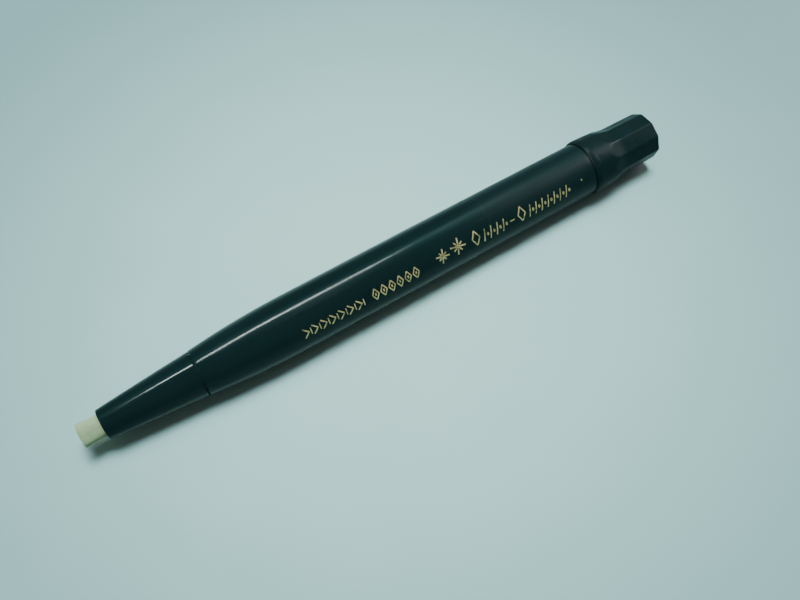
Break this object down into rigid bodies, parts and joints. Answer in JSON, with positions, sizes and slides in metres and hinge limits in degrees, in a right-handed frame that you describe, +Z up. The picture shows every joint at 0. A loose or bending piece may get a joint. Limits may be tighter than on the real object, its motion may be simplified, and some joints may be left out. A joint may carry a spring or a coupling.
{
  "type": "twist-feed glass-fibre eraser pen",
  "caption": "Slim dark green eraser pen: a glass-fibre refill in a tapered nose cone, fed out of a smooth barrel by a faceted twist knob at the rear.",
  "frame": {"origin": "middle of the bounding box at its lowest point, which is the underside of the knob's skirt", "axes": "+X along the pen towards the twist knob, so the eraser tip points to -X; +Z up; the pen's axis is 5.33 mm above the origin"},
  "size_m": [0.1126, 0.0106, 0.0107],
  "materials": {
    "green_plastic": "glossy, very dark green",
    "knob_plastic": "satin, very dark green",
    "glass_fibre": "bound glass fibres, pale cream green",
    "binding_sleeve": "thin wound sleeve",
    "brass": "machined",
    "spring_steel": "bright",
    "nylon": "moulded, natural white",
    "rubber": "matt black"
  },
  "bodies": {
    "barrel": {"barrel": "green_plastic", "rear_bush": "green_plastic", "guide_tube": "brass", "tube_spacer": "nylon", "thrust_washer": "spring_steel", "wave_spring": "spring_steel"},
    "knob": {"twist_knob": "knob_plastic", "lead_screw": "brass", "stop_ring": "spring_steel", "friction_washer": "nylon"},
    "feed": {"carrier_tube": "nylon", "drive_pin_left": "spring_steel", "drive_pin_right": "spring_steel", "chuck": "brass", "chuck_ring": "spring_steel", "refill_bundle": "glass_fibre", "refill_band": "binding_sleeve"},
    "nose_seat": {"nose_washer": "rubber"},
    "nose": {"nose_cone": "green_plastic"}
  },
  "joints": [
    {"name": "knob_turn", "type": "hinge", "parent": "barrel", "child": "knob", "pos_m": [0.0502, 0, 0.00533], "axis": [-1, 0, 0], "range_deg": [-450.5, 1575.5]},
    {"name": "refill_feed", "type": "slide", "parent": "barrel", "child": "feed", "axis": [-1, 0, 0], "range_m": [-0.005, 0.0175]},
    {"name": "nose_travel", "type": "slide", "parent": "barrel", "child": "nose_seat", "axis": [-1, 0, 0], "range_m": [0, 0.0065]},
    {"name": "nose_turn", "type": "hinge", "parent": "nose_seat", "child": "nose", "pos_m": [-0.0443, 0, 0.00533], "axis": [-1, 0, 0], "range_deg": [0, 2340.5]}
  ],
  "couplings": [
    {"joint": "knob_turn", "follows": "refill_feed", "rad_per_m": 1570.8},
    {"joint": "nose_turn", "follows": "nose_travel", "rad_per_m": 6283.2}
  ]
}
